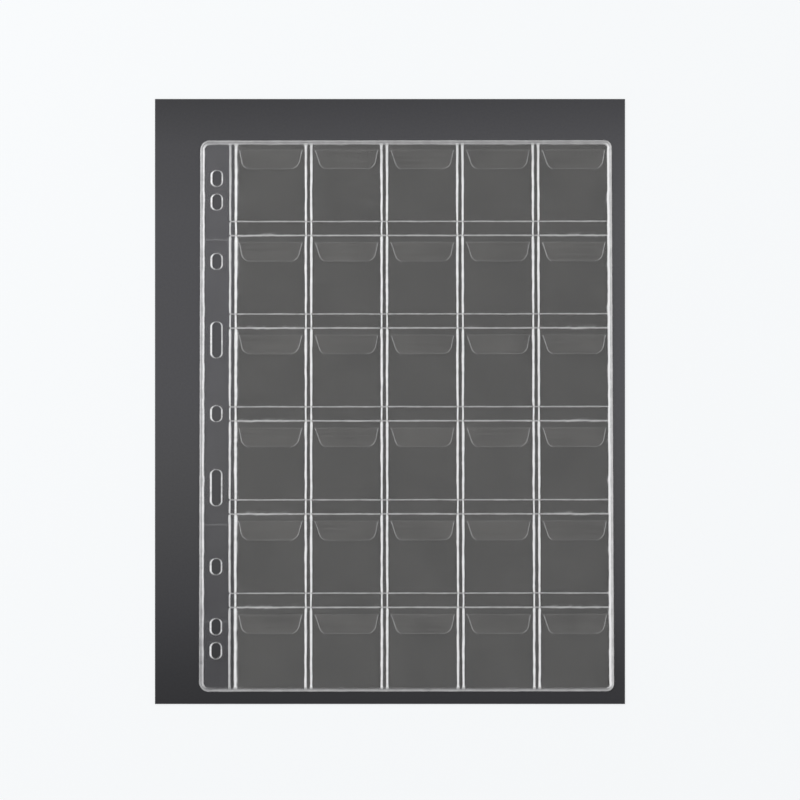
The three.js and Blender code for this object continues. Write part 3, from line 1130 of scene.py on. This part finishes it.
@dataclass(frozen=True)
class FlapSide:
    """One side of a flap: how far it slants in, and the radius of its corner at the tip."""

    slant: float
    tip_radius: float
    length: float
    half: float
    shoulder_radius: float = 1.2
    thinnest: float = 0.45  # the shoulder fillet stops this far short of its own end

    def width_at(self, down: Array) -> Array:
        """Width of this half of the flap at a distance below the hinge.

        It is a shoulder fillet, then a straight line that slants in, then an arc to the level tip.

        Args:
            down: Distances below the hinge, in millimetres.

        Returns:
            Widths from the flap's middle line.
        """
        lean, upright = math.sin(self.slant), math.cos(self.slant)
        straight = self.half - down * math.tan(self.slant)
        tip_y = self.length - self.tip_radius
        tip_x = self.half - (self.tip_radius + tip_y * lean) / upright
        into = np.clip(down - tip_y, -self.tip_radius, self.tip_radius)
        arc = tip_x + np.sqrt(np.clip(self.tip_radius**2 - into**2, 0, None))
        side = np.where(down > tip_y + self.tip_radius * lean, arc, straight)
        shoulder_x = self.half + self.shoulder_radius * (1 - lean) / upright
        rise = np.clip(self.shoulder_radius - down, 0, self.shoulder_radius)
        fillet = shoulder_x - np.sqrt(np.clip(self.shoulder_radius**2 - rise**2, 0, None))
        in_fillet = down < self.shoulder_radius * (1 - lean)
        return np.where(in_fillet, np.minimum(fillet, shoulder_x - self.thinnest), side)


@dataclass
class Flap:
    """One die-cut tongue of film over a pocket's mouth, hinged along it by a bend of the film itself.

    A cut is a slant in degrees and a tip radius in millimetres, on the spine side and the fore side. The
    first column's dies cut both nearly alike, and the others cut a rounder corner on the fore side.
    """

    layout: PageLayout
    row: int
    column: int
    width: float = 32.2
    length: float = 9.8
    bend: float = 0.9  # of film that curls when the flap lifts
    droop: float = 0.045
    droop_drift: Wave = (40.0, 0.4)
    levelling: float = 3.0  # over which the flap gets level below the hinge
    shine: Wave = (17.0, 0.18)
    first_cuts: tuple[Span, Span] = ((11.0, 4.8), (14.0, 5.0))
    other_cuts: tuple[Span, Span] = ((18.5, 3.7), (11.0, 4.8))
    unevenness: Span = (1.2, 0.3)  # of a cut's slant and tip radius, either way
    # pale cut edges, partly painted highlight where the edges catch the light
    side_white: float = 0.43
    # more painted highlight on the cut sides of the first and last columns
    outermost_side_white: float = 0.5
    tip_white: float = 0.1
    hinge_white: float = 0.02
    cut_width: float = 0.3  # of the pale line along a cut

    def sides(self) -> tuple[FlapSide, FlapSide]:
        """The flap's spine side and fore side."""
        cuts = self.first_cuts if self.column == 0 else self.other_cuts
        rng = np.random.default_rng(60 + 7 * self.row + self.column)
        cuts = cuts + rng.uniform(-1, 1, (2, 2)) * self.unevenness
        near, far = (FlapSide(math.radians(slant), tip, self.length, self.width / 2) for slant, tip in cuts)
        return near, far

    def grid(self) -> tuple[Array, Array]:
        """Places of the flap's grid, fine at the cuts.

        Returns:
            Shares of the way from the middle to a side, and distances below the hinge.
        """
        bend, tip = self.bend, self.length
        corner, cut = tip - 4.6, tip - 0.5
        down = stations((-0.02, bend, 0.1), (bend, corner, 0.7), (corner, cut, 0.24), (cut, tip, 0.06))
        even = np.linspace(-1, 1, 33)
        across = 0.35 * np.sin(np.pi / 2 * even) + 0.65 * even
        across = np.unique(np.concatenate([across, [-0.985, -0.97, 0.97, 0.985]]))
        share, below = np.meshgrid(across, down[::-1])
        return share, below

    def build(self) -> bpy.types.Object:
        """Builds the flap: it leaves the raised hem as the same film, levels out and droops a little.

        Returns:
            The flap's piece.
        """
        page = self.layout
        seed = 7 * self.row + self.column
        share, down = self.grid()
        near, far = (side.width_at(np.maximum(down, 0)) for side in self.sides())
        half = np.where(share < 0, near, far)
        x = page.pocket_middle(self.column) + share * half
        y = page.mouth(self.row) - down
        hem = page.hem_lift * page.across_pockets(x, page.hem_side_ramp)
        level = swell((down - 0.1) / self.levelling)
        curl = self.droop * (down / self.length) ** 2 * (1 + wander(x, 50 + seed, *self.droop_drift))
        rise = hem + (page.hem_lift - hem) * level - curl
        shine = 1 + wander(x + 3 * down, 20 + seed, *self.shine)
        outermost = self.column in (0, page.columns - 1)
        at_sides = bump((1 - np.abs(share)) * half, self.cut_width) * ramp(down, 0, 0.4)
        # pale cuts, partly painted highlight, with more of it in the end columns
        marks = (
            (self.outermost_side_white if outermost else self.side_white) * shine * at_sides,
            self.tip_white * shine * bump(self.length - down, self.cut_width),
            self.hinge_white * bump(down - 0.1, self.cut_width),
        )
        white = 1 - math.prod(1 - mark for mark in marks)
        bottom = page.backing_thickness + rise
        shell = FilmShell(x, y, bottom + page.film_thickness, bottom, np.clip(white, 0, 1))
        return shell.build(f"flap_{self.row + 1}_{self.column + 1}_film")

    def hang(self, piece: bpy.types.Object) -> None:
        """Bakes the flap's transform into its mesh and hides the flap's own solid.

        Args:
            piece: The flap's piece.
        """
        page = self.layout
        body = f"flap_{self.row + 1}_{self.column + 1}"
        x, mouth, z = page.pocket_middle(self.column), page.mouth(self.row), page.front_face + page.hem_lift
        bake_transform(piece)
        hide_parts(body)


@dataclass
class AlbumPage:
    """The whole page: backing, binding strip, front strips and flaps."""

    layout: PageLayout = field(default_factory=PageLayout)

    def finish_piece(self, piece: bpy.types.Object, material: bpy.types.Material, *nodes: str) -> None:
        """Dresses a piece that is fixed to the page, and lets it stand for its solids.

        Args:
            piece: The piece.
            material: Its finish.
            *nodes: The solids that it stands for.
        """
        piece.data.materials.append(material)
        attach(piece, PAGE_BODY)
        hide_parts(*nodes)
        log.info("%s: %d faces", piece.name, len(piece.data.polygons))

    def build(self, nodes: dict[str, bpy.types.Object]) -> None:
        """Builds every piece in order.

        Args:
            nodes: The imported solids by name.
        """
        page = self.layout
        welds = Welds(page)
        up = {"veil_tone": "#A09FA2", "streak_share": 0.9, "cloud_share": 0.9, "streaks_run_up": True}
        margin = ClearFilm("soft_pvc_margin_film", veil=0.056, **up).build()
        front = ClearFilm("soft_pvc_front_film", veil=0.034, streak_share=1.1, cloud_share=2.4).build()
        flap_film = ClearFilm("soft_pvc_flap_film", veil=0.056, streak_share=1.3, cloud_share=1.5).build()
        top_film = ClearFilm("soft_pvc_top_flap_film", veil=0.038, streak_share=1.3, cloud_share=1.5).build()
        Backing().dress(nodes["backing_film"])
        self.finish_piece(BindingStrip(page, welds).build(), margin, "binding_strip")
        for row in range(-1, page.rows):
            name = "top_flap_strip" if row < 0 else f"pocket_strip_{row + 1}"
            self.finish_piece(FrontStrip(page, welds, row).build(), front, name)
        for row in range(page.rows):
            for column in range(page.columns):
                flap = Flap(page, row, column)
                piece = flap.build()
                piece.data.materials.append(top_film if row == 0 else flap_film)
                flap.hang(piece)
                log.info("%s: %d faces", piece.name, len(piece.data.polygons))


# Studio


@dataclass(frozen=True)
class Softbox:
    """A soft rectangular lamp that points at the page's middle. Places are in metres."""

    name: str
    place: tuple[float, float, float]
    size: Span
    watts: float
    colour: str = "#FFFFFF"

    def build(self) -> None:
        """Makes the lamp."""
        data = bpy.data.lights.new(self.name, "AREA")
        data.shape, data.energy, data.color = "RECTANGLE", self.watts, linear(self.colour)[:3]
        data.size, data.size_y = self.size
        lamp = put_in_scene(self.name, data)
        lamp.location = self.place
        lamp.rotation_euler = (-Vector(self.place)).to_track_quat("-Z", "Y").to_euler()


@dataclass(frozen=True)
class Studio:
    """Camera, lamps, floor and card. Places are in metres."""

    eye: tuple[float, float, float] = (-0.00248, -0.02186, 0.95816)
    turn_degrees: tuple[float, float, float] = (1.7535, 0.0448, -0.0519)  # from looking straight down
    lens: float = 85.0
    sensor: float = 36.0
    picture: int = 800
    card_pixels: tuple[float, float, float, float] = (155.0, 99.0, 625.0, 704.0)
    card_top: float = -0.00004
    card_thickness: float = 0.0008
    card_inset_mm: float = 1.0  # from the page's edge to where the card counts as under the page
    floor_gap: float = 0.00002
    floor_size: float = 4.0
    sky: str = "#F8F8FB"
    sky_strength: float = 0.58
    softboxes: tuple[Softbox, ...] = (
        Softbox("key_softbox", (-0.45, 0.55, 1.0), (0.9, 0.9), 5.7),
        Softbox("left_strip", (-0.75, 0.0, 0.35), (0.9, 0.16), 1.2, "#F6F5FA"),
        Softbox("right_strip", (0.8, -0.05, 0.4), (0.9, 0.16), 1.4, "#F6F5FA"),
    )

    @property
    def turn(self) -> Euler:
        """The camera's turn."""
        return Euler([math.radians(angle) for angle in self.turn_degrees])

    def camera(self) -> None:
        """Makes the camera: nearly straight above the page, as the photograph was taken."""
        data = bpy.data.cameras.new("camera")
        data.lens, data.sensor_width, data.clip_start, data.clip_end = self.lens, self.sensor, 0.01, 50.0
        camera = put_in_scene("camera", data)
        camera.location = self.eye
        camera.rotation_euler = self.turn
        bpy.context.scene.camera = camera

    def behind_pixel(self, px: float, py: float, z: float) -> tuple[float, float]:
        """Where the camera's ray through a pixel meets a level plane.

        Args:
            px: Pixels from the picture's left.
            py: Pixels from the picture's top.
            z: Height of the plane.

        Returns:
            X and Y of the meeting point.
        """
        reach = self.lens / self.sensor * self.picture
        middle = self.picture / 2
        ray = Vector(((px - middle) / reach, (middle - py) / reach, -1.0))
        ray.rotate(self.turn)
        far = (z - self.eye[2]) / ray.z
        return self.eye[0] + far * ray.x, self.eye[1] + far * ray.y

    def card(self, page: PageLayout) -> None:
        """Makes the dark card under the page, whose corners fill the photograph's dark panel.

        Args:
            page: The page's layout, for the part of the card that its pockets cover.
        """
        left, high, right, low = self.card_pixels
        pixels = ((left, low), (right, low), (right, high), (left, high))
        outline = [self.behind_pixel(px, py, self.card_top) for px, py in pixels]
        points = [(x, y, z) for z in (self.card_top, self.card_top - self.card_thickness) for x, y in outline]
        walls = [(b, a, a + 4, b + 4) for a, b in ((0, 1), (1, 2), (2, 3), (3, 0))]
        mesh = bpy.data.meshes.new("backing_card")
        mesh.from_pydata(points, [], [(0, 1, 2, 3), (7, 6, 5, 4), *walls])
        inset = self.card_inset_mm
        pockets = (page.seam(0) * MM, (page.right - inset) * MM, (page.top - inset) * MM)
        mesh.materials.append(DarkCard().build(outline[0][1], outline[3][1], pockets))
        put_in_scene("backing_card", mesh)

    def floor(self) -> None:
        """Makes the plain pale floor that the card lies on."""
        reach, z = self.floor_size / 2, self.card_top - self.floor_gap - self.card_thickness
        mesh = bpy.data.meshes.new("floor")
        square = [(-reach, -reach, z), (reach, -reach, z), (reach, reach, z), (-reach, reach, z)]
        mesh.from_pydata(square, [], [(0, 1, 2, 3)])
        mesh.materials.append(PaleFloor().build())
        put_in_scene("floor", mesh)

    def light(self) -> None:
        """Sets the sky and the lamps: an even dome, a broad key lamp, and a slim lamp low at each side."""
        world = bpy.data.worlds.new("studio_dome")
        add = empty_graph(world)
        dome = add("Background", linear(self.sky), self.sky_strength)
        backdrop = add("Background", linear(PaleFloor.tone), 1.0)
        add("OutputWorld", add("MixShader", background_rays(add), dome, backdrop))
        bpy.context.scene.world = world
        for softbox in self.softboxes:
            softbox.build()


def main() -> None:
    """Loads the solids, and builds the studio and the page."""
    logging.basicConfig(level=logging.INFO, format="%(name)s: %(message)s")
    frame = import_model()
    studio = Studio()
    studio.camera()
    studio.light()
    studio.floor()
    album_page = AlbumPage()
    studio.card(album_page.layout)
    album_page.build(frame["nodes"])
    scene = bpy.context.scene
    scene.view_settings.view_transform = "Standard"
    scene.cycles.transparent_max_bounces = 40


if __name__ == "__main__":
    main()
